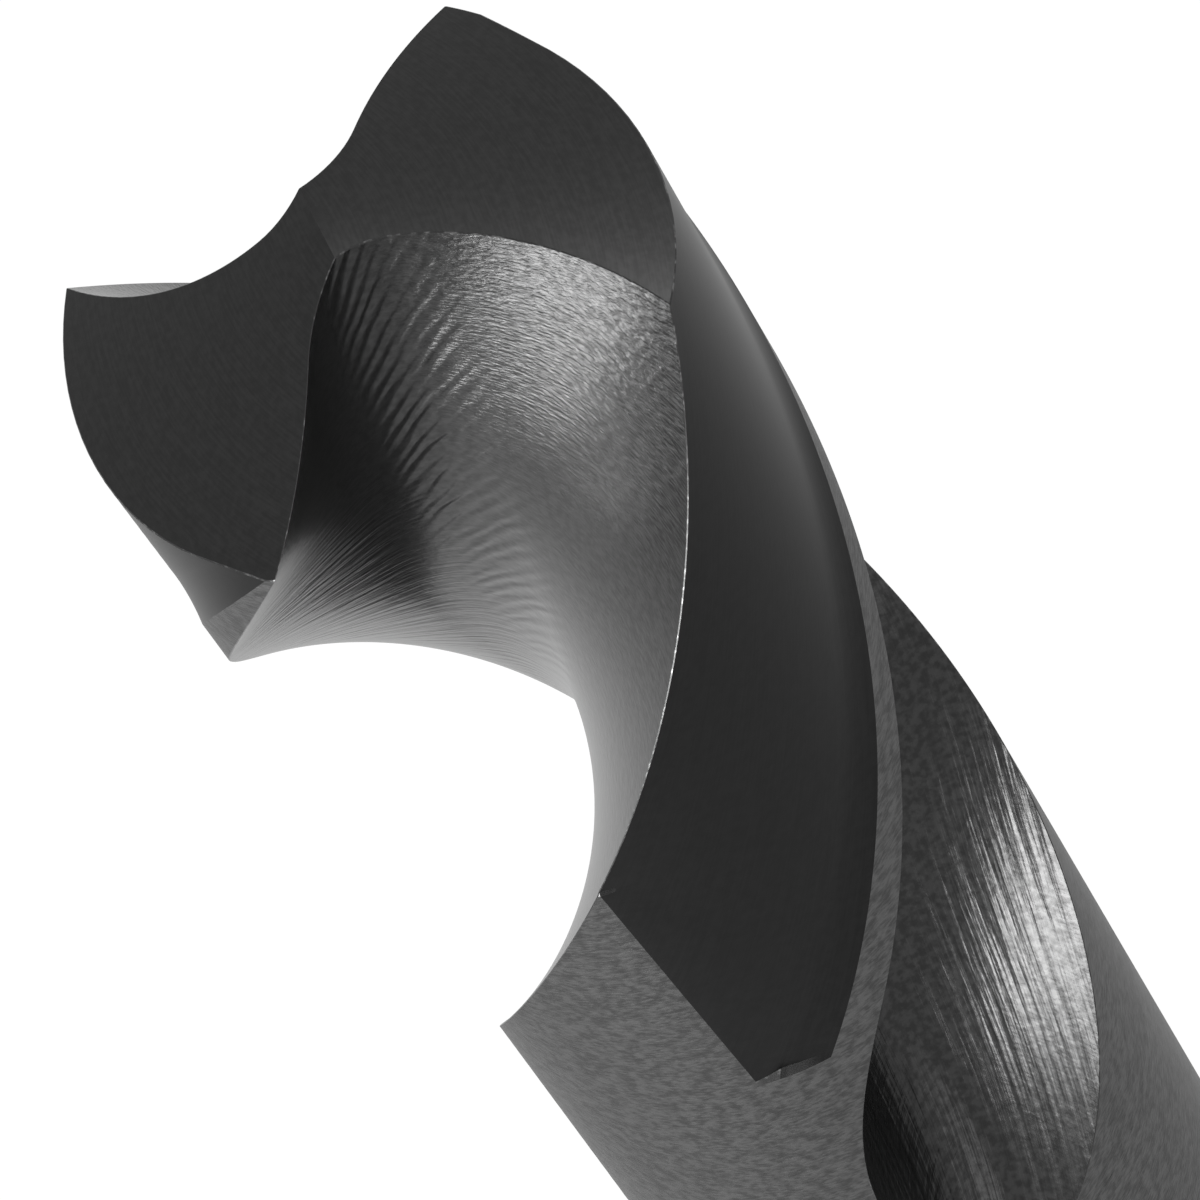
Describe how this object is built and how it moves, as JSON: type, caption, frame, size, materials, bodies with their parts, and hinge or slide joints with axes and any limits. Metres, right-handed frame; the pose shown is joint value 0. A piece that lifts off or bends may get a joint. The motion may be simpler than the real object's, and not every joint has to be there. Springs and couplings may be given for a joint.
{
  "type": "twist drill bit",
  "caption": "Stub-length twist drill bit with two right-hand helical flutes, narrow margins, a conically ground point and a plain round shank, in black-oxide steel.",
  "frame": {"origin": "centre of the shank's flat end face, which the drill stands on", "axes": "+Z along the drill's axis from the shank to the point; the first lip's corner lies near +X"},
  "size_m": [0.02, 0.02, 0.131],
  "materials": {
    "hss_black_oxide": "ground and milled high-speed steel with a steam-tempered black oxide"
  },
  "bodies": {
    "root": {"twist_drill": "hss_black_oxide"}
  },
  "joints": []
}
